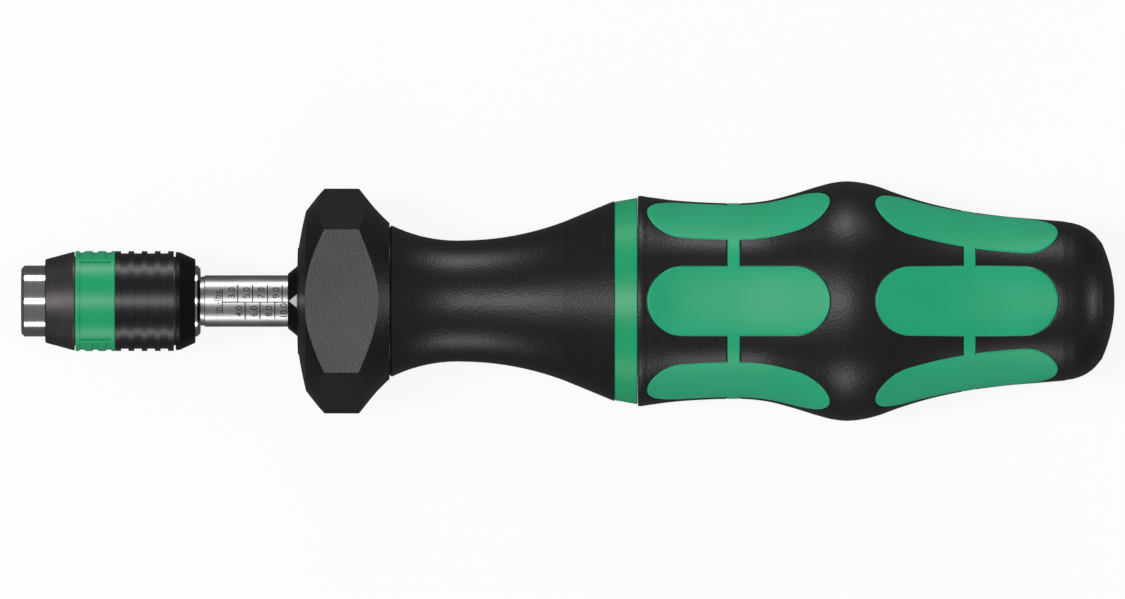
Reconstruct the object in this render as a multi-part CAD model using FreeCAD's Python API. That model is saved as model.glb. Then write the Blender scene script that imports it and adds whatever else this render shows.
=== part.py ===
import FreeCAD, Part
import math
import os

# Adjustable torque screwdriver with a quick-release 1/4 in bit chuck.
# Millimetres. The tool's axis is X: the origin is the centre of the bit socket's mouth,
# and the handle's end is at x = overall_length. +Z is the side with the wide collar flat.
# Every profile is a list of (x, radius) points that is turned about the X axis.
# Long gentle curves of the handle are turned as short cones, which keeps its facets few.

overall_length = 155.0

# Bit holder: a hexagon socket in a round barrel
barrel_radius = 5.04
barrel_length = 25.4
barrel_relief_radius = 4.6
socket_across_flats = 6.42
socket_depth = 20.0
snap_groove_start = 4.95
snap_groove_width = 0.7
snap_groove_radius = 4.3
ball_diameter = 2.5
ball_place_x = 13.5
ball_place_z = 3.92

# Quick-release sleeve on the barrel
sleeve_front = 3.4
sleeve_slide = 2.8
sleeve_tube_radius = 6.3
sleeve_guide_radius = 5.14
sleeve_cavity_radius = 5.78
lock_land_radius = 5.22
cone_rise = 0.196
washer_start = 11.3
washer_thickness = 0.5

# Scale spindle and the ball clutch on its tail
spindle_radius = 3.65
spindle_tail_radius = 2.5
spindle_tail_end = 98.0
stub_start = 20.6
stub_radius = 3.0
cam_start = 82.0
cam_thickness = 3.0
cam_radius = 7.6
cam_across_flats = 5.0
clutch_ball_radius = 1.5
clutch_ball_circle = 5.5
clutch_ball_count = 3
running_gap = 0.05

clip_start = 85.1
clip_end = 85.8
clip_groove_radius = 2.1

# Front housing: collar, bush and neck
bush_front = 37.8
collar_start = 39.2
collar_end = 52.2
collar_corner_radius = 16.13
wide_flat_apothem = 12.55
neck_start = 52.3
neck_end = 84.05
spigot_radius = 10.5
spigot_end = 102.5
snap_ring_start = 97.0
snap_ring_end = 98.0
thread_radius = 8.5

# Main spring
spring_seat_x = 50.0
seat_thickness = 0.8
rear_seat_x = 79.0
spring_wire_radius = 0.95
spring_mean_radius = 5.3
spring_turns = 7

# Setting nut, keyed in the handle by a hexagon
nut_front = 86.2
nut_thread_end = 94.0
nut_end = 116.0
nut_across_flats = 13.0

# Handle and its soft grip zones
handle_start = 87.4
handle_bore_radius = spigot_radius + running_gap
insert_start = 103.5
insert_end = 126.5
insert_radius = 9.5
zone_count = 6
zone_half_width = 4.815
front_zone = (88.68, 114.59)
front_web = (100.05, 101.84)
rear_zone = (121.0, 146.9)
rear_web = (133.5, 135.2)

# Handle outline as (x, radius) places: waist, swell, rear waist and domed end
grip_front = (87.7, 14.94)
waist_low = (101.4, 13.87)
swell_start = (109.3, 15.13)
swell_side = (112.7, 16.18)
swell_top = (117.0, 16.99)
swell_back = (123.7, 15.42)
rear_waist = (147.8, 11.32)
dome_edge = (153.2, 8.22)
grip_floor_points = [(87.0, 13.5), (101.4, 12.4), (109.3, 13.6), (117.0, 15.4), (126.0, 13.2),
                     (139.0, 10.6), (148.0, 9.9)]

origin = FreeCAD.Vector(0, 0, 0)
axis_x = FreeCAD.Vector(1, 0, 0)
axis_z = FreeCAD.Vector(0, 0, 1)


def point(x, radius):
    return FreeCAD.Vector(x, radius, 0)


def lines(points):
    """Straight edges through the points of an open outline."""
    return [Part.makeLine(point(*a), point(*b)) for a, b in zip(points, points[1:])]


def arc(start, through, end):
    return Part.Arc(point(*start), point(*through), point(*end)).toShape()


def bend(start, through, end, runs):
    """Points along the arc through three places, for a gentle curve turned as short cones."""
    curve = Part.Arc(point(*start), point(*through), point(*end))
    return [(p.x, p.y) for p in curve.discretize(Number=runs + 1)]


def spin(edges, angle=360):
    """Solid made by turning a closed outline about the tool's axis."""
    wire = Part.Wire(Part.__sortEdges__(edges))
    return Part.Face(wire).revolve(origin, axis_x, angle)


def turned(points, angle=360):
    return spin(lines(points + points[:1]), angle)


def ring(x0, x1, inner, outer, angle=360):
    return turned([(x0, inner), (x1, inner), (x1, outer), (x0, outer)], angle)


def cylinder(x0, x1, radius):
    return Part.makeCylinder(radius, x1 - x0, point(x0, 0), axis_x)


def polygon_prism(corners, x0, x1):
    """Prism along X over (y, z) corners."""
    points = [FreeCAD.Vector(x0, y, z) for y, z in corners]
    return Part.Face(Part.makePolygon(points + points[:1])).extrude(axis_x * (x1 - x0))


def hexagon(across_flats, x0, x1):
    """Hexagon prism with two of its flats facing +Z and -Z."""
    corner = across_flats / math.sqrt(3)
    angles = [math.radians(60 * i) for i in range(6)]
    return polygon_prism([(corner * math.cos(a), corner * math.sin(a)) for a in angles], x0, x1)


def around(shape, count, first=0.0):
    """Copies of a shape, evenly spaced about the tool's axis."""
    copies = []
    for i in range(count):
        copy = shape.copy()
        copy.rotate(origin, axis_x, first + 360.0 * i / count)
        copies.append(copy)
    return copies


def balls(x, circle, radius, count):
    ball = Part.makeSphere(radius, FreeCAD.Vector(x, 0, circle))
    return around(ball, count)


def coil(x0, x1, mean_radius, wire_radius, turns, runs=14, sides=6):
    """Compression spring: straight mitred runs of wire along a helix about the X axis."""
    first_x = x0 + wire_radius
    travel = x1 - x0 - 2 * wire_radius
    count = turns * runs
    step = 2 * math.pi / runs
    centres = []
    for i in range(-1, count + 2):
        x = first_x + travel * i / count
        angle = i * step
        centres.append(FreeCAD.Vector(x, -mean_radius * math.sin(angle), mean_radius * math.cos(angle)))
    ways = [(b - a).normalize() for a, b in zip(centres, centres[1:])]
    loop = []
    for k in range(sides):
        angle = 2 * math.pi * k / sides
        loop.append(centres[1] + axis_x * (wire_radius * math.cos(angle))
                    + axis_z * (wire_radius * math.sin(angle)))
    loops = [loop]
    for i in range(2, count + 2):
        way = ways[i - 1]
        mitre = (ways[i - 1] + ways[i]).normalize()
        loop = [p + way * ((centres[i] - p).dot(mitre) / way.dot(mitre)) for p in loop]
        loops.append(loop)
    faces = [Part.Face(Part.makePolygon(end + end[:1])) for end in (loops[0], loops[-1])]
    for near, far in zip(loops, loops[1:]):
        for k in range(sides):
            n = (k + 1) % sides
            faces.append(Part.Face(Part.makePolygon([near[k], near[n], far[n], far[k], near[k]])))
    wire = Part.Solid(Part.Shell(faces))
    if wire.Volume < 0:
        wire.reverse()
    return wire


def save(node, shape):
    solids = shape.Solids
    kept = solids[0] if len(solids) == 1 else Part.makeCompound(solids)
    kept.exportStep("parts/" + node + ".step")
    box = kept.BoundBox
    print(f"{node}: {len(solids)} solid, {len(kept.Faces)} faces, valid {kept.isValid()},"
          f" {kept.Volume:.1f} mm3, x {box.XMin:.2f} to {box.XMax:.2f}")


# ---------- chuck ----------

def bit_holder():
    groove_end = snap_groove_start + snap_groove_width
    relief_end = 12.0
    edge = 0.45
    outline = [
        (0, 0), (0, barrel_radius - edge), (edge, barrel_radius),
        (snap_groove_start, barrel_radius), (snap_groove_start, snap_groove_radius),
        (groove_end, snap_groove_radius), (groove_end, barrel_relief_radius),
        (relief_end, barrel_relief_radius), (relief_end, barrel_radius),
        (barrel_length - edge, barrel_radius), (barrel_length, barrel_radius - edge),
        (barrel_length, 0),
    ]
    barrel = turned(outline)
    barrel = barrel.cut(hexagon(socket_across_flats, 0, socket_depth))
    barrel = barrel.cut(cylinder(socket_depth, barrel_length, stub_radius))
    mouth_radius = 4.05
    mouth_depth = 1.05
    barrel = barrel.cut(Part.makeCone(mouth_radius, mouth_radius - mouth_depth, mouth_depth, origin, axis_x))
    pocket_radius = ball_diameter / 2 + 0.03
    pocket = Part.makeCylinder(pocket_radius, barrel_radius + 1, point(ball_place_x, 0), axis_z)
    return barrel.cut(pocket)


def locking_ball():
    return Part.makeSphere(ball_diameter / 2, FreeCAD.Vector(ball_place_x, 0, ball_place_z))


def sleeve_core():
    """Nose cone and inner tube: stop lip, spring chamber, lock land, release cone and guide bore."""
    cone_end = ball_place_x + sleeve_slide + 0.1
    cone_end_radius = lock_land_radius + cone_rise * (cone_end - ball_place_x)
    guide_start = 17.6
    shoulder = washer_start + washer_thickness
    return turned([
        (sleeve_front, sleeve_guide_radius), (sleeve_front, 5.8), (sleeve_front + 0.15, 5.96),
        (7.35, 6.98), (7.55, 6.98), (7.55, sleeve_tube_radius),
        (23.0, sleeve_tube_radius), (23.0, sleeve_guide_radius),
        (guide_start, sleeve_guide_radius), (guide_start, cone_end_radius),
        (cone_end, cone_end_radius), (ball_place_x, lock_land_radius),
        (shoulder, lock_land_radius), (shoulder, sleeve_cavity_radius),
        (snap_groove_start, sleeve_cavity_radius), (snap_groove_start, sleeve_guide_radius),
    ])


def sleeve_colour_ring():
    """Ring with a sunk panel above and below, and three grip grooves on each side."""
    start = 7.68
    end = 13.33
    rim = 7.1
    edge = 0.1
    body = turned([(start, sleeve_tube_radius), (start, rim - edge), (start + edge, rim),
                   (end - edge, rim), (end, rim - edge), (end, sleeve_tube_radius)])
    panel_margin = 0.62
    panel_depth = 0.2
    panel_angle = 104
    panel = ring(start + panel_margin, end - panel_margin, rim - panel_depth, rim + 1, panel_angle)
    panel.rotate(origin, axis_x, 90 - panel_angle / 2)
    body = body.cut(around(panel, 2))
    groove_angle = 64
    mouth = 0.75
    bottom = 0.25
    pitch = (end - start) / 3
    for i in range(3):
        x = start + pitch * (i + 0.5)
        groove = turned([(x - mouth, rim + 0.2), (x - bottom, rim - 0.2), (x + bottom, rim - 0.2),
                         (x + mouth, rim + 0.2)], groove_angle)
        groove.rotate(origin, axis_x, -groove_angle / 2)
        body = body.cut(around(groove, 2))
    return body


def grip_sleeve():
    """Five square ribs with four grooves between them."""
    start = 13.33
    end = 21.6
    rib_radius = 7.08
    groove_radius = 6.77
    rib = 0.8
    pitch = (end - start - rib) / 4
    outline = [(start, sleeve_tube_radius)]
    for i in range(5):
        x = start + pitch * i
        outline += [(x, rib_radius), (x + rib, rib_radius)]
        if i < 4:
            outline += [(x + rib, groove_radius), (x + pitch, groove_radius)]
    outline.append((end, sleeve_tube_radius))
    return turned(outline)


def sleeve_rear_collar():
    return turned([
        (21.9, sleeve_tube_radius), (21.9, 6.9), (22.0, 6.97), (22.45, 6.94),
        (24.57, 5.98), (24.67, 5.88), (24.67, 5.35), (23.0, 5.35), (23.0, sleeve_tube_radius),
    ])


def sleeve_thrust_washer():
    return ring(washer_start, washer_start + washer_thickness, 4.68, 5.66)


def sleeve_spring():
    return coil(5.6, washer_start, 5.16, 0.28, 4, 12, 5)


def chuck_snap_ring():
    return ring(snap_groove_start + 0.05, 5.6, snap_groove_radius, 5.6, 325)


def ejector_plunger():
    """Spring-loaded disc that lifts a released bit out of the socket."""
    head = 15.5
    return turned([(head, 0), (head, 2.5), (head + 0.3, 2.8), (head + 1.0, 2.8),
                   (head + 1.0, 1.15), (21.8, 1.15), (21.8, 0)])


def ejector_spring():
    return coil(16.5, stub_start, 2.0, 0.19, 4, 10, 5)


# ---------- spindle and clutch ----------

def scale_spindle():
    """Graduated rod: pressed stub in the barrel, journal, hexagon seat and tail pin."""
    tail_start = cam_start + cam_thickness
    body = turned([
        (stub_start, 0), (stub_start, stub_radius), (barrel_length, stub_radius),
        (barrel_length, 3.4), (25.5, 3.4), (25.5, 3.48), (25.95, 3.48), (26.05, spindle_radius),
        (cam_start, spindle_radius), (cam_start, 0),
    ])
    seat = hexagon(cam_across_flats, cam_start, tail_start)
    tail = turned([
        (tail_start, 0), (tail_start, spindle_tail_radius), (clip_start, spindle_tail_radius),
        (clip_start, clip_groove_radius), (clip_end, clip_groove_radius),
        (clip_end, spindle_tail_radius),
        (spindle_tail_end - 0.6, spindle_tail_radius), (spindle_tail_end, 1.9),
        (spindle_tail_end, 0),
    ])
    body = body.fuse(seat).fuse(tail)
    body = body.cut(cylinder(stub_start, 25.0, 1.2))
    return body.removeSplitter()


def driven_cam():
    """Clutch plate with one ball seat for each ball."""
    end = cam_start + cam_thickness
    edge = 0.4
    body = turned([(cam_start, 0), (cam_start, cam_radius - edge), (cam_start + edge, cam_radius),
                   (end - edge, cam_radius), (end, cam_radius - edge), (end, 0)])
    body = body.cut(hexagon(cam_across_flats, cam_start, end))
    seat_radius = clutch_ball_radius + 0.1
    seat_depth = 0.45
    seat_x = end + seat_radius - seat_depth
    return body.cut(balls(seat_x, clutch_ball_circle, seat_radius, clutch_ball_count))


def clutch_ball_x():
    return cam_start + cam_thickness + running_gap + clutch_ball_radius


def clutch_balls():
    return Part.makeCompound(
        balls(clutch_ball_x(), clutch_ball_circle, clutch_ball_radius, clutch_ball_count))


def spindle_circlip():
    return ring(clip_start, clip_end, clip_groove_radius, 3.9, 300)


def drilled_pocket():
    """Hole for one clutch ball; the ball rests on the cone that the drill's point leaves."""
    radius = clutch_ball_radius + 0.03
    half_point = math.radians(59)
    tip = clutch_ball_x() + (clutch_ball_radius + 0.01) / math.sin(half_point)
    cone_start = tip - radius / math.tan(half_point)
    hole = turned([(nut_front - 1, 0), (nut_front - 1, radius), (cone_start, radius), (tip, 0)])
    hole.translate(axis_z * clutch_ball_circle)
    return hole


def setting_nut():
    """Threaded flange with ball pockets in front and a long hexagon drive behind."""
    edge = 0.4
    thread = thread_radius - running_gap
    body = turned([(nut_front, 0), (nut_front, thread - edge), (nut_front + edge, thread),
                   (nut_thread_end - edge, thread), (nut_thread_end, thread - edge),
                   (nut_thread_end, 0)])
    body = body.fuse(hexagon(nut_across_flats, nut_thread_end, nut_end))
    body = body.cut(cylinder(nut_front, nut_end, spindle_tail_radius + running_gap))
    return body.cut(around(drilled_pocket(), clutch_ball_count))


# ---------- front housing ----------

def guide_bush():
    """Bush that guides the spindle. Its front edge is the line that the scale is read at."""
    bore = spindle_radius + running_gap
    return turned([
        (bush_front, bore), (bush_front, bore + 0.18), (39.12, 4.96), (39.2, 7.55),
        (40.2, 7.55), (40.2, 6.5), (44.5, 6.5), (44.5, bore),
    ])


def collar():
    """Turned knob body cut by three wide and three narrow flats in turn."""
    face_edge = (39.32, 7.58)
    face_rim = (40.35, 12.75)
    back_rim = (48.0, 15.96)
    back_edge = (52.0, 11.25)
    edges = [arc(face_edge, (39.78, 10.2), face_rim), arc(back_rim, (49.75, 13.6), back_edge)]
    edges += lines([face_rim, (43.0, collar_corner_radius), (47.85, collar_corner_radius), back_rim])
    edges += lines([back_edge, (collar_end, 11.1), (collar_end, 8.0), (44.5, 8.0), (44.5, 6.5),
                    (40.2, 6.5), (40.2, 7.58), face_edge])
    body = spin(edges)
    wide_half = math.acos(wide_flat_apothem / collar_corner_radius)
    corners = []
    for i in range(3):
        middle = math.radians(90 + 120 * i)
        for side in (-1, 1):
            angle = middle + side * wide_half
            corners.append((collar_corner_radius * math.cos(angle),
                            collar_corner_radius * math.sin(angle)))
    return body.common(polygon_prism(corners, collar_start - 1, collar_end + 1))


def neck_housing():
    """Waisted body that holds the spring, with the handle's bearing spigot behind."""
    front_rim = (neck_start + 0.22, 10.73)
    thinnest = (62.9, 8.6)
    flare = (76.9, 11.25)
    back_rim = (neck_end, 14.2)
    chamber = 6.9
    wide_chamber = 8.7
    groove = 0.6
    edges = [arc(front_rim, (57.0, 9.14), thinnest), arc(thinnest, (70.4, 9.4), flare)]
    edges += lines([
        flare, back_rim, (neck_end, spigot_radius),
        (91.0, spigot_radius), (91.0, 9.5), (92.4, 9.5), (92.4, spigot_radius),
        (snap_ring_start, spigot_radius), (snap_ring_start, spigot_radius - groove),
        (snap_ring_end, spigot_radius - groove), (snap_ring_end, spigot_radius),
        (spigot_end - 0.5, spigot_radius), (spigot_end, spigot_radius - 0.5),
        (spigot_end, thread_radius), (88.0, thread_radius), (88.0, wide_chamber),
        (77.0, wide_chamber), (77.0, chamber), (spring_seat_x, chamber),
        (spring_seat_x, 4.2), (44.5, 4.2), (44.5, 8.0), (collar_end, 8.0),
        (collar_end, 10.5), (neck_start, 10.5), (neck_start, 10.55), front_rim,
    ])
    return spin(edges)


def front_spring_seat():
    return ring(spring_seat_x, spring_seat_x + seat_thickness, 4.3, 6.8)


def main_spring():
    return coil(spring_seat_x + seat_thickness, rear_seat_x, spring_mean_radius,
                spring_wire_radius, spring_turns)


def rear_spring_seat():
    return ring(rear_seat_x, rear_seat_x + 1.0, spindle_radius + running_gap, 8.2)


def thrust_washer():
    """Low-friction washer that lets the clutch plate turn under the spring's force."""
    return ring(rear_seat_x + 1.0, cam_start, spindle_radius + running_gap, 7.6)


def separator_ring():
    """Coloured ring, seated on the neck's rear face and just clear of the handle."""
    end = handle_start - running_gap
    edge = 0.13
    front_radius = 14.08
    back_radius = 14.63
    return turned([(neck_end, spigot_radius), (neck_end, front_radius - edge),
                   (neck_end + edge, front_radius), (end - edge, back_radius),
                   (end, back_radius - edge), (end, spigot_radius)])


def friction_ring():
    """Rubber ring, squeezed in its groove, that gives the handle its drag on the spigot."""
    half = 0.52
    flat = half * math.tan(math.radians(22.5))
    x, r = 91.7, 10.02
    return turned([(x - half, r - flat), (x - half, r + flat), (x - flat, r + half),
                   (x + flat, r + half), (x + half, r + flat), (x + half, r - flat),
                   (x + flat, r - half), (x - flat, r - half)])


def handle_snap_ring():
    return ring(snap_ring_start, snap_ring_end, spigot_radius - 0.6, 11.2, 335)


# ---------- handle ----------

def handle_blank():
    """Outside form of the handle, solid."""
    lip = (handle_start, 14.87)
    height = overall_length - dome_edge[0]
    dome_radius = (dome_edge[1] ** 2 + height ** 2) / (2 * height)
    dome_flat = (overall_length, 2.0)
    half = (math.asin(dome_edge[1] / dome_radius) + math.asin(dome_flat[1] / dome_radius)) / 2
    dome_side = (overall_length - dome_radius * (1 - math.cos(half)), dome_radius * math.sin(half))
    outline = [(handle_start, 0), lip]
    outline += bend(grip_front, (94.5, 14.14), waist_low, 3)
    outline += bend(waist_low, (105.6, 14.23), swell_start, 3)[1:]
    outline += bend(swell_side, (114.9, 16.78), swell_top, 3)
    outline += bend(swell_top, (120.5, 16.53), swell_back, 4)[1:]
    outline += bend(swell_back, (132.2, 13.05), rear_waist, 4)[1:]
    outline += bend(rear_waist, (151.2, 10.2), dome_edge, 4)[1:]
    outline += bend(dome_edge, dome_side, dome_flat, 3)[1:]
    outline.append((overall_length, 0))
    return turned(outline)


def zone_tool(zone, web):
    """Cutter for the capsule-shaped zone on +Z, with its sixth of the thin web round the handle."""
    x0, x1 = zone
    r = zone_half_width
    a = x0 + r
    b = x1 - r
    z = 5.0
    outline = Part.Wire([
        Part.makeLine(FreeCAD.Vector(a, -r, z), FreeCAD.Vector(b, -r, z)),
        Part.Arc(FreeCAD.Vector(b, -r, z), FreeCAD.Vector(x1, 0, z), FreeCAD.Vector(b, r, z)).toShape(),
        Part.makeLine(FreeCAD.Vector(b, r, z), FreeCAD.Vector(a, r, z)),
        Part.Arc(FreeCAD.Vector(a, r, z), FreeCAD.Vector(x0, 0, z), FreeCAD.Vector(a, -r, z)).toShape(),
    ])
    capsule = Part.Face(outline).extrude(axis_z * 16)
    sector = 360 / zone_count
    strip = ring(web[0], web[1], 8.0, 21.0, sector)
    strip.rotate(origin, axis_x, 90 - sector / 2)
    return strip.fuse(capsule)


def grip_floor():
    """Form under the soft zones."""
    return turned([(grip_floor_points[0][0], 0)] + grip_floor_points + [(grip_floor_points[-1][0], 0)])


def handle_nodes():
    blank = handle_blank()
    floor = grip_floor()
    inlays = []
    core = blank
    for zone, web in ((front_zone, front_web), (rear_zone, rear_web)):
        pocket = zone_tool(zone, web).cut(floor)
        sixths = around(blank.common(pocket), zone_count)
        inlays.append(sixths[0].multiFuse(sixths[1:]))
        core = core.cut(around(pocket, zone_count))
    bore_end = spigot_end + 0.5
    core = core.cut(cylinder(handle_start - 1, bore_end, handle_bore_radius))
    core = core.cut(ring(snap_ring_start - running_gap, snap_ring_end + running_gap, 9.0, 11.3))
    core = core.cut(cylinder(spigot_end, insert_end + 0.5, insert_radius))
    return core, inlays[0], inlays[1]


def handle_insert():
    body = cylinder(insert_start, insert_end, insert_radius)
    return body.cut(hexagon(nut_across_flats + 2 * running_gap, insert_start, insert_end))


os.makedirs("parts", exist_ok=True)

for make in (bit_holder, locking_ball, sleeve_core, sleeve_colour_ring, grip_sleeve,
             sleeve_rear_collar, sleeve_thrust_washer, sleeve_spring, chuck_snap_ring,
             ejector_plunger, ejector_spring, scale_spindle, driven_cam, clutch_balls,
             spindle_circlip, setting_nut, guide_bush, collar, neck_housing, front_spring_seat,
             main_spring, rear_spring_seat, thrust_washer, separator_ring, friction_ring,
             handle_snap_ring, handle_insert):
    save(make.__name__, make())

handle_core, front_grip_inlay, rear_grip_inlay = handle_nodes()
save("handle_core", handle_core)
save("front_grip_inlay", front_grip_inlay)
save("rear_grip_inlay", rear_grip_inlay)
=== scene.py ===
import math

import bpy
from mathutils import Matrix, Vector


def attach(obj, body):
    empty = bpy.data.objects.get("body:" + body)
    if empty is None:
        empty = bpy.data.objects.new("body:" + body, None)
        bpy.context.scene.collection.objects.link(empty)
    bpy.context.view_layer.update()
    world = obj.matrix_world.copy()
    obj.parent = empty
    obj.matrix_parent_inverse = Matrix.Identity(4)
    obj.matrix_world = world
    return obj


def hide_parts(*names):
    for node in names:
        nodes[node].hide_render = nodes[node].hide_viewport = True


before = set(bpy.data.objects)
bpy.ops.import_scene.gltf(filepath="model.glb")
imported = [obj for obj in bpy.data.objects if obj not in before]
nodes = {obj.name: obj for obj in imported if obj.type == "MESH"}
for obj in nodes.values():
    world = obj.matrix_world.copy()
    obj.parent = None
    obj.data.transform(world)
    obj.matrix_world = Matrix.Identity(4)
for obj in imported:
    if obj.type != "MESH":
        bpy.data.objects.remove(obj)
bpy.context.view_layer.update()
mm = 0.001
print("frame loaded:", len(nodes), "parts")


def linearColour(hexText, alpha=1.0):  # sRGB hex to linear
    values = [int(hexText[i:i + 2], 16) / 255 for i in (1, 3, 5)]
    return [v / 12.92 if v <= 0.04045 else ((v + 0.055) / 1.055) ** 2.4 for v in values] + [alpha]


def newMaterial(name):
    material = bpy.data.materials.new(name)
    material.use_nodes = True
    material.node_tree.nodes.clear()
    return material, material.node_tree


def addNode(tree, kind, settings=None, values=None, links=None):
    # settings are the node's own fields, values its unlinked sockets, links its linked ones
    node = tree.nodes.new(kind)
    for field, value in (settings or {}).items():
        setattr(node, field, value)
    for socket, value in (values or {}).items():
        node.inputs[socket].default_value = value
    for socket, source in (links or {}).items():
        tree.links.new(source, node.inputs[socket])
    return node


def addRamp(tree, source, places, colours):
    ramp = addNode(tree, "ShaderNodeValToRGB", links={"Fac": source})
    for element, place, colour in zip(ramp.color_ramp.elements, places, colours):
        element.position = place
        element.color = colour
    return ramp.outputs["Color"]


def objectPlace(tree):
    return addNode(tree, "ShaderNodeTexCoord").outputs["Object"]


def addNoise(tree, place, spot, detail, roughness=0.5):
    # cloudy pattern with patches about spot mm wide
    values = {"Scale": 1 / (spot * mm), "Detail": detail, "Roughness": roughness}
    return addNode(tree, "ShaderNodeTexNoise", None, values, {"Vector": place}).outputs["Fac"]


def addRange(tree, source, low, high):
    values = {"To Min": low, "To Max": high}
    return addNode(tree, "ShaderNodeMapRange", None, values, {"Value": source}).outputs["Result"]


def addBump(tree, source, strength, depth):
    values = {"Strength": strength, "Distance": depth * mm}
    return addNode(tree, "ShaderNodeBump", None, values, {"Height": source}).outputs["Normal"]


def addSurface(tree, values, links):
    shader = addNode(tree, "ShaderNodeBsdfPrincipled", None, values, links)
    addNode(tree, "ShaderNodeOutputMaterial", links={"Surface": shader.outputs["BSDF"]})


def meshObject(name, vertices, faces, material, smoothAngle=40):
    mesh = bpy.data.meshes.new(name)
    mesh.from_pydata([tuple(c * mm for c in v) for v in vertices], [], faces)
    mesh.validate()
    mesh.shade_smooth()
    mesh.set_sharp_from_angle(angle=math.radians(smoothAngle))
    mesh.materials.append(material)
    piece = bpy.data.objects.new(name, mesh)
    bpy.context.collection.objects.link(piece)
    return piece


def onAxis(x, radius, angle):
    # angle in radians from +Z towards +Y
    return (x, radius * math.sin(angle), radius * math.cos(angle))


moulded = {
    # spot sizes in mm
    "pitSoftness": 0.7, "pitStrength": 0.5, "pitStops": (0.2, 0.7),
    "glossSpot": 9.0, "flowSpot": 6.0, "flowStops": (0.25, 0.75),
    "rippleSpot": 0.3, "rippleStrength": 0.25,
    "smoother": 0.03, "rougher": 0.04,  # how far the roughness strays each way
    "nylonIor": 1.46, "polymerIor": 1.5,
}


def grainedPlastic(name, low, high, roughness, grain, depth):
    # injection-moulded nylon from a spark-eroded mould: tiny even pits break every highlight
    # into grey specks, and stay black in the dark
    material, tree = newMaterial(name)
    place = objectPlace(tree)
    pits = addNode(tree, "ShaderNodeTexVoronoi", {"feature": "SMOOTH_F1"},
                   {"Scale": 1 / (grain * mm), "Smoothness": moulded["pitSoftness"]},
                   {"Vector": place}).outputs["Distance"]
    gloss = addNoise(tree, place, moulded["glossSpot"], 2.0)
    addSurface(tree, {"IOR": moulded["nylonIor"]}, {
        "Base Color": addRamp(tree, pits, moulded["pitStops"],
                              (linearColour(low), linearColour(high))),
        "Roughness": addRange(tree, gloss, roughness - moulded["smoother"],
                              roughness + moulded["rougher"]),
        "Normal": addBump(tree, pits, moulded["pitStrength"], depth)})
    return material


def smoothPolymer(name, low, high, roughness, ripple):
    # moulded in a polished or finely blasted tool: even colour with a very slight flow ripple
    material, tree = newMaterial(name)
    place = objectPlace(tree)
    flow = addNoise(tree, place, moulded["flowSpot"], 3.0)
    fine = addNoise(tree, place, moulded["rippleSpot"], 2.0)
    addSurface(tree, {"IOR": moulded["polymerIor"]}, {
        "Base Color": addRamp(tree, flow, moulded["flowStops"],
                              (linearColour(low), linearColour(high))),
        "Roughness": addRange(tree, flow, roughness - moulded["smoother"],
                              roughness + moulded["rougher"]),
        "Normal": addBump(tree, fine, moulded["rippleStrength"], ripple)})
    return material


turned = {
    "layStretch": 0.02,  # scale across the axis against the scale along it
    "layRoughness": 0.65, "layStrength": 0.35, "layStops": (0.3, 0.7),
    "cloudSpot": 3.5,  # mm
    "smoother": 0.8, "rougher": 1.25,  # shares of the roughness
}


def turnedSteel(name, low, high, roughness, layWidth, layDepth):
    # turned metal: rings of fine tool lay round the axis, which stretch reflections along it
    material, tree = newMaterial(name)
    place = objectPlace(tree)
    across = turned["layStretch"]
    stretched = addNode(tree, "ShaderNodeMapping", None, {"Scale": (1.0, across, across)},
                        {"Vector": place}).outputs["Vector"]
    lay = addNoise(tree, stretched, layWidth, 4.0, turned["layRoughness"])
    cloud = addNoise(tree, place, turned["cloudSpot"], 3.0)
    addSurface(tree, {"Metallic": 1.0}, {
        "Base Color": addRamp(tree, lay, turned["layStops"],
                              (linearColour(low), linearColour(high))),
        "Roughness": addRange(tree, cloud, roughness * turned["smoother"],
                              roughness * turned["rougher"]),
        "Normal": addBump(tree, lay, turned["layStrength"], layDepth)})
    return material


# colours for low and high places, roughness, then grain and depth, ripple, or lay width and depth
grainedNylon = grainedPlastic("sparkErodedBlackNylon", "#050505", "#0d0d0d", 0.4, 0.34, 0.045)
ribbedNylon = grainedPlastic("mouldedBlackNylon", "#050505", "#0b0b0b", 0.34, 0.4, 0.01)
greenNylon = smoothPolymer("mouldedGreenNylon", "#009c64", "#00a068", 0.4, 0.004)
softGrip = smoothPolymer("softTouchGreenElastomer", "#00a26f", "#00a876", 0.5, 0.008)
rubber = smoothPolymer("mouldedBlackRubber", "#141414", "#1a1a1a", 0.6, 0.01)
polishedSteel = turnedSteel("polishedTurnedSteel", "#b4b4b6", "#c4c4c6", 0.14, 0.12, 0.002)
groundSteel = turnedSteel("groundSteelRod", "#9d9d9f", "#b0b0b2", 0.34, 0.09, 0.006)
hardenedSteel = turnedSteel("hardenedBearingSteel", "#8f8f92", "#a0a0a3", 0.25, 0.15, 0.003)
springSteel = turnedSteel("drawnSpringWire", "#77777a", "#8a8a8d", 0.3, 0.3, 0.002)
brownedSteel = turnedSteel("brownedTurnedSteel", "#4b4748", "#555152", 0.48, 0.14, 0.004)
blackedSteel = turnedSteel("blackOxidedSteel", "#232323", "#2b2b2b", 0.4, 0.2, 0.003)
turnedBrass = turnedSteel("turnedBrass", "#b08d4a", "#c09c58", 0.28, 0.2, 0.004)

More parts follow.
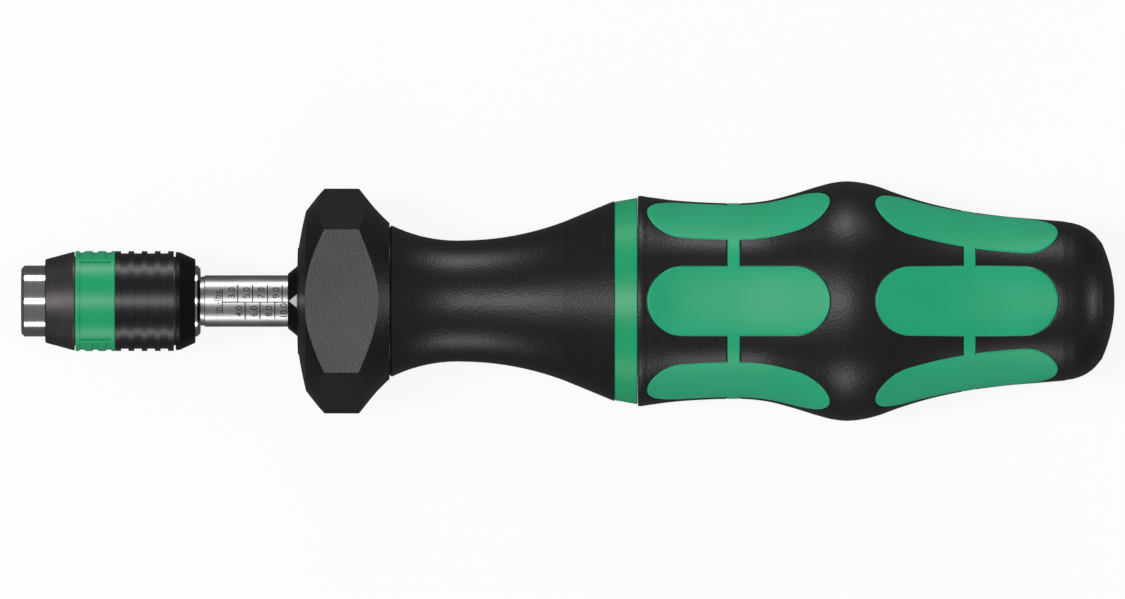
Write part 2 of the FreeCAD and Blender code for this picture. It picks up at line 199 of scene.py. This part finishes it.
nodeMaterials = {
    grainedNylon: ["collar", "neck_housing"],
    ribbedNylon: ["grip_sleeve"],
    blackedSteel: ["sleeve_rear_collar", "guide_bush"],
    greenNylon: ["sleeve_colour_ring", "separator_ring"],
    brownedSteel: ["sleeve_core"],
    polishedSteel: ["bit_holder", "locking_ball"],
    groundSteel: ["scale_spindle"],
    hardenedSteel: ["sleeve_thrust_washer", "ejector_plunger", "driven_cam", "clutch_balls",
                    "front_spring_seat", "rear_spring_seat", "thrust_washer", "handle_insert"],
    springSteel: ["sleeve_spring", "ejector_spring", "main_spring", "chuck_snap_ring",
                  "spindle_circlip", "handle_snap_ring"],
    turnedBrass: ["setting_nut"],
    rubber: ["friction_ring"],
}
for material, names in nodeMaterials.items():
    for name in names:
        nodes[name].data.materials.clear()
        nodes[name].data.materials.append(material)
print("materials ready")


handle = {
    # (x, radius over the corners, how far the six sides fall inside the round), mm
    "stations": [
        (87.4, 14.87, 0.0), (87.7, 14.92, 0.0), (88.8, 14.77, 0.1), (92.3, 14.31, 0.42),
        (96.0, 14.03, 0.5), (101.4, 13.87, 0.5), (105.9, 14.27, 0.5), (109.3, 15.13, 0.42),
        (112.7, 16.18, 0.25), (115.0, 16.78, 0.14), (117.0, 16.99, 0.12),
        (119.2, 16.78, 0.15), (121.4, 16.26, 0.22), (123.7, 15.42, 0.32),
        (128.8, 13.85, 0.45), (133.9, 12.76, 0.5), (139.0, 12.05, 0.42),
        (144.2, 11.6, 0.2), (147.8, 11.3, 0.0)],
    "dome": [(147.8, 11.3), (149.4, 10.98), (150.9, 10.38), (152.2, 9.42), (153.2, 8.22)],
    "end": 155.0,
    "zones": [((88.68, 114.59), (100.05, 101.84)), ((121.0, 146.9), (133.5, 135.2))],
    "zoneHalfWidth": 4.815,
    "seamHalfWidth": 0.16,
    "seamDepth": 0.13,
    "inlayDepth": 1.15,
    "boreRadius": 10.55,
    "boreEnd": 103.0,
    "insertRadius": 9.5,
    "insertEnd": 127.0,
}

# where the skin's mesh is cut along the axis, mm
cuts = {
    "frontRows": (87.4, 87.5, 87.6, 87.7, 88.0, 88.3),
    "seamRows": (0.06, 0.12, 0.2, 0.35),  # distances from a seam
    "capsuleRows": 14,
    "fillFrom": 88.3, "fillTo": 147.0, "fillStep": 0.25, "fillGap": 0.45,
    "domeFrom": 147.3, "domeTo": 153.2, "domeStep": 0.45,
    "endRows": 8,
    # shares of the way across a black side and across half a green zone
    "edgeSteps": [0, 0.012, 0.026, 0.045, 0.08],
    "blackSteps": 10,
    "greenSteps": 12,
    "floorBelow": 0.05,  # gap under the inlay
}
sixth = math.pi / 3


def smoothCurve(points, x, column):
    # smooth cubic through the points, level where they turn back
    last = len(points) - 1
    i = max(0, min(last - 1, next((k for k in range(last) if x < points[k + 1][0]), last - 1)))

    def slope(k):
        k = max(1, min(last - 1, k))
        a, b, c = points[k - 1], points[k], points[k + 1]
        before = (b[column] - a[column]) / (b[0] - a[0])
        after = (c[column] - b[column]) / (c[0] - b[0])
        if before * after <= 0:
            return 0.0
        wide = c[0] - a[0]
        return (before * (c[0] - b[0]) + after * (b[0] - a[0])) / wide
    x0, x1 = points[i][0], points[i + 1][0]
    h = x1 - x0
    t = (x - x0) / h
    y0, y1 = points[i][column], points[i + 1][column]
    return ((2 * t**3 - 3 * t**2 + 1) * y0 + (t**3 - 2 * t**2 + t) * h * slope(i)
            + (3 * t**2 - 2 * t**3) * y1 + (t**3 - t**2) * h * slope(i + 1))


def cornerRadius(x):
    dome = handle["dome"]
    edgeX, edgeRadius = dome[-1]
    if x >= edgeX:  # the end is part of a sphere
        height = handle["end"] - edgeX
        sphere = (edgeRadius**2 + height**2) / (2 * height)
        rest = sphere - (handle["end"] - x)
        return math.sqrt(max(0.0, sphere**2 - rest**2))
    if x >= dome[0][0]:
        return smoothCurve(dome, x, 1)
    return smoothCurve(handle["stations"], x, 1)


def sideFall(x):
    return smoothCurve(handle["stations"], x, 2) if x < handle["stations"][-1][0] else 0.0


def skinRadius(x, angle):
    return cornerRadius(x) - sideFall(x) * (1 + math.cos(6 * angle)) / 2


def zoneEdge(x, zone):
    # half width of the capsule at x, or 0 outside it
    half = handle["zoneHalfWidth"]
    a, b = zone[0] + half, zone[1] - half
    beyond = max(a - x, x - b, 0.0)
    return math.sqrt(max(0.0, half**2 - beyond**2))


def seamInset(x, angle):
    # both skins roll down into the seam where the two mouldings meet
    half = handle["zoneHalfWidth"]
    local = angle - sixth * round(angle / sixth)
    side = skinRadius(x, angle) * math.sin(local)
    distances = []
    for zone, web in handle["zones"]:
        beyond = max(zone[0] + half - x, x - (zone[1] - half), 0.0)
        capsule = math.hypot(beyond, side) - half
        band = max(web[0] - x, x - web[1])
        distances.append(abs(min(capsule, band)))
    share = max(0.0, 1 - min(distances) / handle["seamHalfWidth"])
    return handle["seamDepth"] * share**2


def handleRows():
    half = handle["zoneHalfWidth"]
    rows = set(cuts["frontRows"])
    for zone, web in handle["zones"]:
        for i in range(cuts["capsuleRows"] + 1):
            step = half * (1 - math.cos(math.radians(90 * i / cuts["capsuleRows"])))
            rows.update((zone[0] + step, zone[1] - step))
        for away in cuts["seamRows"]:
            rows.update((zone[0] - away, zone[1] + away))
            rows.update(edge + side * away for edge in web for side in (-1, 1))
        rows.update(web)
        rows.add(sum(web) / 2)
    rows = {round(r, 4) for r in rows}
    x = cuts["fillFrom"]
    while x < cuts["fillTo"]:  # fill wide gaps
        if min(abs(x - r) for r in rows) > cuts["fillGap"]:
            rows.add(round(x, 4))
        x += cuts["fillStep"]
    x = cuts["domeFrom"]
    while x < cuts["domeTo"]:
        rows.add(round(x, 4))
        x += cuts["domeStep"]
    height = handle["end"] - handle["dome"][-1][0]
    for i in range(1, cuts["endRows"] + 1):
        rows.add(round(handle["end"] - height * (i / cuts["endRows"])**2, 4))
    return sorted(rows)


class Shell:  # gathers vertices and faces, sharing vertices with the same key
    def __init__(self):
        self.vertices, self.faces, self.index = [], [], {}

    def vertex(self, x, angle, radius, layer):
        angle %= 2 * math.pi
        key = (round(x, 4), round(angle, 6) % round(2 * math.pi, 6), layer)
        if radius < 1e-6:
            key = (round(x, 4), 0, layer)
        if key not in self.index:
            self.index[key] = len(self.vertices)
            self.vertices.append(onAxis(x, radius, angle))
        return self.index[key]

    def face(self, corners):
        kept = [c for i, c in enumerate(corners) if c != corners[i - 1]]
        if len(kept) > 2:
            self.faces.append(kept)


def zoneAngles(x, zone, k):
    # angles of the mesh lines over a black side and over the green zone before it
    edges = cuts["edgeSteps"]
    blackSteps = edges + [2 * edges[-1] + (1 - 4 * edges[-1]) * i / cuts["blackSteps"]
                          for i in range(cuts["blackSteps"] + 1)]
    blackSteps += [1 - s for s in reversed(edges)]
    greenEdge = [s - 1 for s in edges]
    inner = 1 - 2 * edges[-1]
    greenSteps = greenEdge + [-inner + 2 * inner * i / cuts["greenSteps"]
                              for i in range(cuts["greenSteps"] + 1)]
    greenSteps += [-s for s in reversed(greenEdge)]
    radius = cornerRadius(x) - sideFall(x)
    edge = zoneEdge(x, zone) if zone else 0.0
    spread = math.asin(min(1.0, edge / radius)) if radius > edge else 0.0
    black = [sixth * k + spread + s * (sixth - 2 * spread) for s in blackSteps]
    green = [sixth * k + (math.asin(s * edge / radius) if edge else 0.0) for s in greenSteps]
    return black, green


def buildHandle():
    rows = handleRows()
    core, front, rear = Shell(), Shell(), Shell()
    greens = [front, rear]
    zones = handle["zones"]
    inlay = handle["inlayDepth"]
    for x0, x1 in zip(rows, rows[1:]):
        middle = (x0 + x1) / 2
        inZone = next((i for i, (zone, web) in enumerate(zones)
                       if zone[0] < middle < zone[1]), None)
        zone, web = zones[inZone] if inZone is not None else (None, None)
        onWeb = zone is not None and web[0] < middle < web[1]
        for k in range(6):
            black0, green0 = zoneAngles(x0, zone, k)
            black1, green1 = zoneAngles(x1, zone, k)
            for line0, line1, soft in ((black0, black1, onWeb), (green0, green1, True)):
                if line0[0] == line0[-1] and line1[0] == line1[-1]:
                    continue
                layers = [(core, "top", 0, 1)]
                if soft:
                    layers = [(core, "floor", inlay + cuts["floorBelow"], 1),
                              (greens[inZone], "top", 0, 1), (greens[inZone], "under", inlay, -1)]
                for a0, b0, a1, b1 in zip(line0, line0[1:], line1, line1[1:]):
                    corners = [(x0, a0), (x0, b0), (x1, b1), (x1, a1)]
                    for shell, layer, depth, way in layers:
                        ids = []
                        for x, a in corners:
                            inset = depth if depth else seamInset(x, a)
                            ids.append(shell.vertex(x, a, skinRadius(x, a) - inset, layer))
                        shell.face(ids[::way])
    return core, greens, rows


def closeWalls(shell, upper, lower):
    # wall between the edge of the upper layer and the layer below it
    keys = {i: key for key, i in shell.index.items()}
    edges = {}
    for face in shell.faces:
        for a, b in zip(face, face[1:] + face[:1]):
            if keys[a][2] == upper and keys[b][2] == upper:
                edges[(a, b)] = True
    for a, b in edges:
        if (b, a) in edges:
            continue
        below = [shell.index.get((keys[v][0], keys[v][1], lower)) for v in (b, a)]
        if None not in below:
            shell.face([b, a] + below[::-1])


def finishCore(core, rows):
    # front face and bore down to the insert's seat
    keys = {i: key for key, i in core.index.items()}
    angles = sorted({key[1] for key in keys.values() if key[0] == rows[0] and key[2] == "top"})
    wide, narrow = handle["boreRadius"], handle["insertRadius"]
    inner = [(rows[0], wide), (handle["boreEnd"], wide), (handle["boreEnd"], narrow),
             (handle["insertEnd"], narrow), (handle["insertEnd"], 0.0)]
    previous = [core.index[(rows[0], a, "top")] for a in angles]
    for i, (x, radius) in enumerate(inner):
        ring = [core.vertex(x, a, radius, "bore" + str(i)) for a in angles]
        for j in range(len(angles)):
            n = (j + 1) % len(angles)
            core.face([previous[n], previous[j], ring[j], ring[n]])
        previous = ring


core, greens, rows = buildHandle()
closeWalls(core, "top", "floor")
finishCore(core, rows)
for shell in greens:
    closeWalls(shell, "top", "under")
for name, shell, material, node, slot in (
        ("handle_moulding", core, grainedNylon, "handle_core", "black_moulded"),
        ("front_grip_zones", greens[0], softGrip, "front_grip_inlay", "green_soft"),
        ("rear_grip_zones", greens[1], softGrip, "rear_grip_inlay", "green_soft")):
    piece = meshObject(name, shell.vertices, shell.faces, material, 50)
    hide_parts(node)
    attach(piece, "handle")
    print(name, len(shell.faces), "faces")


scale = {
    "radius": 3.65,
    "proud": 0.015,
    "lead": 1.05,  # axial distance of one unit
    "zeroX": 27.55,  # place of 0 on the spindle
    "firstLine": 28.5,
    "lastX": 40.5,
    "tickLength": 2.45,
    "lineY": -0.15,
    "numberY": 1.36,
    "numberGap": 0.38,
    "headerHalf": 1.75,
    "lineWidth": 0.16,
    "textHeight": 1.04,
    "values": range(3, 12),
    "unit": "in.-lbs.", "unitHeight": 1.0, "unitX": 28.28,
    "capitalShare": 0.72,  # height of a figure against the font's size
}


# specks in mm, and how much lighter they are than the colour
enamel = {"speckSpot": 0.2, "speckStops": (0.35, 0.8), "lighter": 1.5, "lift": 0.004}


def paint(name, hexText, roughness):
    # enamel wiped into engraved lines: matt and slightly uneven
    material, tree = newMaterial(name)
    speck = addNoise(tree, objectPlace(tree), enamel["speckSpot"], 3.0)
    dark = linearColour(hexText)
    light = [min(1.0, c * enamel["lighter"] + enamel["lift"]) for c in dark[:3]] + [1]
    addSurface(tree, {"Roughness": roughness, "IOR": moulded["polymerIor"]},
               {"Base Color": addRamp(tree, speck, enamel["speckStops"], (dark, light))})
    return material


blackFill = paint("blackEnamelFill", "#101010", 0.5)
paleFill = paint("paleGreyEnamel", "#b9b9b9", 0.5)


def wrapped(x, arc, radius):
    return onAxis(x, radius, arc / radius)


def flatMeshToSpindle(name, pieces, material):
    # pieces are (vertices, faces) in the unrolled plane: x along the tool, y round it
    radius = scale["radius"] + scale["proud"]
    vertices, faces = [], []
    for flat, polygons in pieces:
        start = len(vertices)
        vertices += [wrapped(x, y, radius) for x, y in flat]
        faces += [[start + i for i in polygon] for polygon in polygons]
    return meshObject(name, vertices, faces, material)


def strip(x0, y0, x1, y1, steps):
    # rectangle cut across its round direction
    flat, polygons = [], []
    for i in range(steps + 1):
        y = y0 + (y1 - y0) * i / steps
        flat += [(x0, y), (x1, y)]
        if i:
            n = 2 * i
            polygons.append([n - 2, n - 1, n + 1, n])
    return flat, polygons


def textOutline(words, height, x, y):
    # words read along +Y with their tops towards -X; (x, y) is the middle of the baseline
    curve = bpy.data.curves.new("words", "FONT")
    curve.body = words
    curve.size = height / scale["capitalShare"] * mm
    curve.align_x = "CENTER"
    curve.resolution_u = 3
    text = bpy.data.objects.new("words", curve)
    bpy.context.collection.objects.link(text)
    evaluated = text.evaluated_get(bpy.context.evaluated_depsgraph_get())
    letters = bpy.data.meshes.new_from_object(evaluated)
    flat = [(x - v.co.y / mm, y + v.co.x / mm) for v in letters.vertices]
    polygons = [list(p.vertices) for p in letters.polygons]
    bpy.data.objects.remove(text)
    bpy.data.curves.remove(curve)
    bpy.data.meshes.remove(letters)
    return flat, polygons


def buildScale():
    half = scale["lineWidth"] / 2
    arc = scale["radius"] * math.asin(scale["tickLength"] / scale["radius"])
    line = scale["lineY"]
    first, header = scale["firstLine"], scale["headerHalf"]
    marks = [strip(first - half, -header, first + half, header, 8),
             strip(first, line - half, scale["lastX"], line + half, 1)]
    words = [textOutline(scale["unit"], scale["unitHeight"], scale["unitX"], 0.0)]
    for value in scale["values"]:
        x = scale["zeroX"] + scale["lead"] * value
        side = 1 if value % 2 else -1
        tip = line + side * arc
        marks.append(strip(x - half, min(line, tip), x + half, max(line, tip), 8))
        words.append(textOutline(f"{value}.0", scale["textHeight"], x - scale["numberGap"],
                                 line + side * scale["numberY"]))
    lines = flatMeshToSpindle("scale_lines", marks, blackFill)
    numbers = flatMeshToSpindle("scale_numbers", words, blackFill)
    for piece in (lines, numbers):
        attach(piece, "spindle")
    print("scale ready")


buildScale()

pointer = {
    "tipX": 37.95, "baseX": 39.08, "halfWidth": 0.95,
    "coneFrontX": 37.8, "coneFrontRadius": 3.9,  # the bush's cone under the mark
    "coneBackX": 39.12, "coneBackRadius": 4.96,
    "proud": 0.03,
    "rows": 8, "columns": 6,
}


def buildPointer():
    # triangle on the bush's cone, pointing at the scale
    rows, columns = pointer["rows"], pointer["columns"]
    coneLength = pointer["coneBackX"] - pointer["coneFrontX"]
    coneRise = pointer["coneBackRadius"] - pointer["coneFrontRadius"]
    vertices, faces = [], []
    for i in range(rows + 1):
        share = i / rows
        x = pointer["tipX"] + (pointer["baseX"] - pointer["tipX"]) * share
        along = (x - pointer["coneFrontX"]) / coneLength
        radius = pointer["coneFrontRadius"] + coneRise * along + pointer["proud"]
        for j in range(columns + 1):
            arc = pointer["halfWidth"] * share * (2 * j / columns - 1)
            vertices.append(wrapped(x, arc, radius))
        if i:
            for j in range(columns):
                a = (columns + 1) * (i - 1) + j
                faces.append([a, a + columns + 1, a + columns + 2, a + 1])
    piece = meshObject("reading_mark", vertices, faces, paleFill)
    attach(piece, "housing")


buildPointer()


stage = {
    "floorSize": 9.0,  # m
    "backdropRadius": 4300.0, "backdropLow": -2000.0, "backdropHigh": 4000.0, "backdropSides": 32,
    "restFrontX": 42.2, "restFrontZ": -15.05,  # collar's lower edge
    "restBackX": 116.8, "restBackZ": -16.9,  # handle's swell
    "cameraX": 76.72, "cameraY": 0.22, "cameraZ": 6000.0,
    "viewWidth": 159.5,
    "floorInMetal": 0.02,  # how bright reflections see the floor
    "floorGlow": 0.88,  # share of its own white that the eye sees
    "roomLight": 0.24,
}


def addMath(tree, operation, first, second):
    # each of the two is a number or a socket
    values = {i: v for i, v in enumerate((first, second)) if isinstance(v, float)}
    links = {i: v for i, v in enumerate((first, second)) if not isinstance(v, float)}
    return addNode(tree, "ShaderNodeMath", {"operation": operation}, values, links).outputs[0]


def buildFloor():
    # pale paper that keeps the shadow, white to the eye and dim in reflections
    material, tree = newMaterial("palePaper")
    rays = addNode(tree, "ShaderNodeLightPath").outputs
    seen = addMath(tree, "MAXIMUM", rays["Is Camera Ray"], rays["Is Transmission Ray"])
    mirrored = addMath(tree, "MULTIPLY", rays["Is Glossy Ray"], stage["floorInMetal"])
    glow = addNode(tree, "ShaderNodeEmission", None, {"Color": (1, 1, 1, 1)},
                   {"Strength": addMath(tree, "ADD", seen, mirrored)})
    seenAtAll = addMath(tree, "MAXIMUM", seen, rays["Is Glossy Ray"])
    matt = addNode(tree, "ShaderNodeBsdfDiffuse", None, {"Color": linearColour("#f8f8f8")})
    mix = addNode(tree, "ShaderNodeMixShader", None, None,
                  {"Fac": addMath(tree, "MULTIPLY", seenAtAll, stage["floorGlow"]),
                   1: matt.outputs["BSDF"], 2: glow.outputs["Emission"]})
    addNode(tree, "ShaderNodeOutputMaterial", links={"Surface": mix.outputs["Shader"]})
    # the floor leans as the tool lies, on the collar's edge and the handle's swell
    length = stage["restBackX"] - stage["restFrontX"]
    slope = (stage["restBackZ"] - stage["restFrontZ"]) / length
    size = stage["floorSize"] / mm / 2
    corners = []
    for x, y in ((-size, -size), (size, -size), (size, size), (-size, size)):
        px = stage["cameraX"] + x
        corners.append((px, y, stage["restFrontZ"] + slope * (px - stage["restFrontX"])))
    floor = meshObject("floor", corners, [[0, 1, 2, 3]], material)
    # a ring of plain white, seen by the eye only; a camera beyond its radius sees only the ring
    wallMaterial, wallTree = newMaterial("paleBackdrop")
    white = {"Color": (1, 1, 1, 1), "Strength": 1.0}
    glow = addNode(wallTree, "ShaderNodeEmission", None, white)
    addNode(wallTree, "ShaderNodeOutputMaterial", links={"Surface": glow.outputs["Emission"]})
    ring, faces = [], []
    away, sides = stage["backdropRadius"], stage["backdropSides"]
    for i in range(sides):
        a = 2 * math.pi * i / sides
        for z in (stage["backdropLow"], stage["backdropHigh"]):
            ring.append((stage["cameraX"] + away * math.cos(a), away * math.sin(a), z))
        n = (i + 1) % sides
        faces.append([2 * i, 2 * i + 1, 2 * n + 1, 2 * n])
    wall = meshObject("backdrop", ring, faces, wallMaterial)
    wall.visible_diffuse = wall.visible_glossy = wall.visible_shadow = False
    wall.visible_transmission = wall.visible_volume_scatter = False


lamps = {
    # lean from straight up and turn from +X in degrees, distance and size in m
    "overhead": {"lean": 20, "turn": 180, "distance": 1.2,
                 "size": (1.3, 0.3), "radiance": 8.5},
    "upperSide": {"lean": 81, "turn": 90, "distance": 0.9,
                  "size": (0.34, 0.26), "radiance": 8.5},
    "lowerSide": {"lean": 81, "turn": -90, "distance": 0.9,
                  "size": (0.34, 0.22), "radiance": 7.5},
    "behindGrip": {"lean": 80, "turn": 0, "distance": 0.9,
                   "size": (0.3, 0.2), "radiance": 8.0},
}


def buildLights():
    middle = Vector((stage["cameraX"] * mm, 0, 0))
    for name, lamp in lamps.items():
        lean, turn = math.radians(lamp["lean"]), math.radians(lamp["turn"])
        way = Vector((math.sin(lean) * math.cos(turn), math.sin(lean) * math.sin(turn),
                      math.cos(lean)))
        light = bpy.data.lights.new(name, "AREA")
        light.shape = "RECTANGLE"
        light.size, light.size_y = lamp["size"]
        light.energy = lamp["radiance"] * math.pi * lamp["size"][0] * lamp["size"][1]
        piece = bpy.data.objects.new(name, light)
        # the lamp's width lies level, its height stands in the plane of its way
        level = Vector((-way.y, way.x, 0)).normalized()
        if name == "overhead":
            level = Vector((1, 0, 0))
        up = way.cross(level).normalized()
        level = up.cross(way)
        placed = Matrix((level, up, way)).transposed().to_4x4()
        placed.translation = middle + way * lamp["distance"]
        piece.matrix_world = placed
        piece.visible_camera = False
        bpy.context.collection.objects.link(piece)
    world = bpy.data.worlds.new("softRoom")
    world.use_nodes = True
    background = world.node_tree.nodes["Background"]
    background.inputs["Color"].default_value = linearColour("#ffffff")
    background.inputs["Strength"].default_value = stage["roomLight"]
    bpy.context.scene.world = world


def buildCamera():
    data = bpy.data.cameras.new("camera")
    data.sensor_width = 36.0
    data.lens = data.sensor_width * stage["cameraZ"] / stage["viewWidth"]
    data.clip_start, data.clip_end = 0.05, 50.0
    camera = bpy.data.objects.new("camera", data)
    camera.location = tuple(stage["camera" + axis] * mm for axis in "XYZ")
    bpy.context.collection.objects.link(camera)
    bpy.context.scene.camera = camera
    bpy.context.scene.view_settings.view_transform = "Standard"


buildFloor()
buildLights()
buildCamera()
print("stage ready")
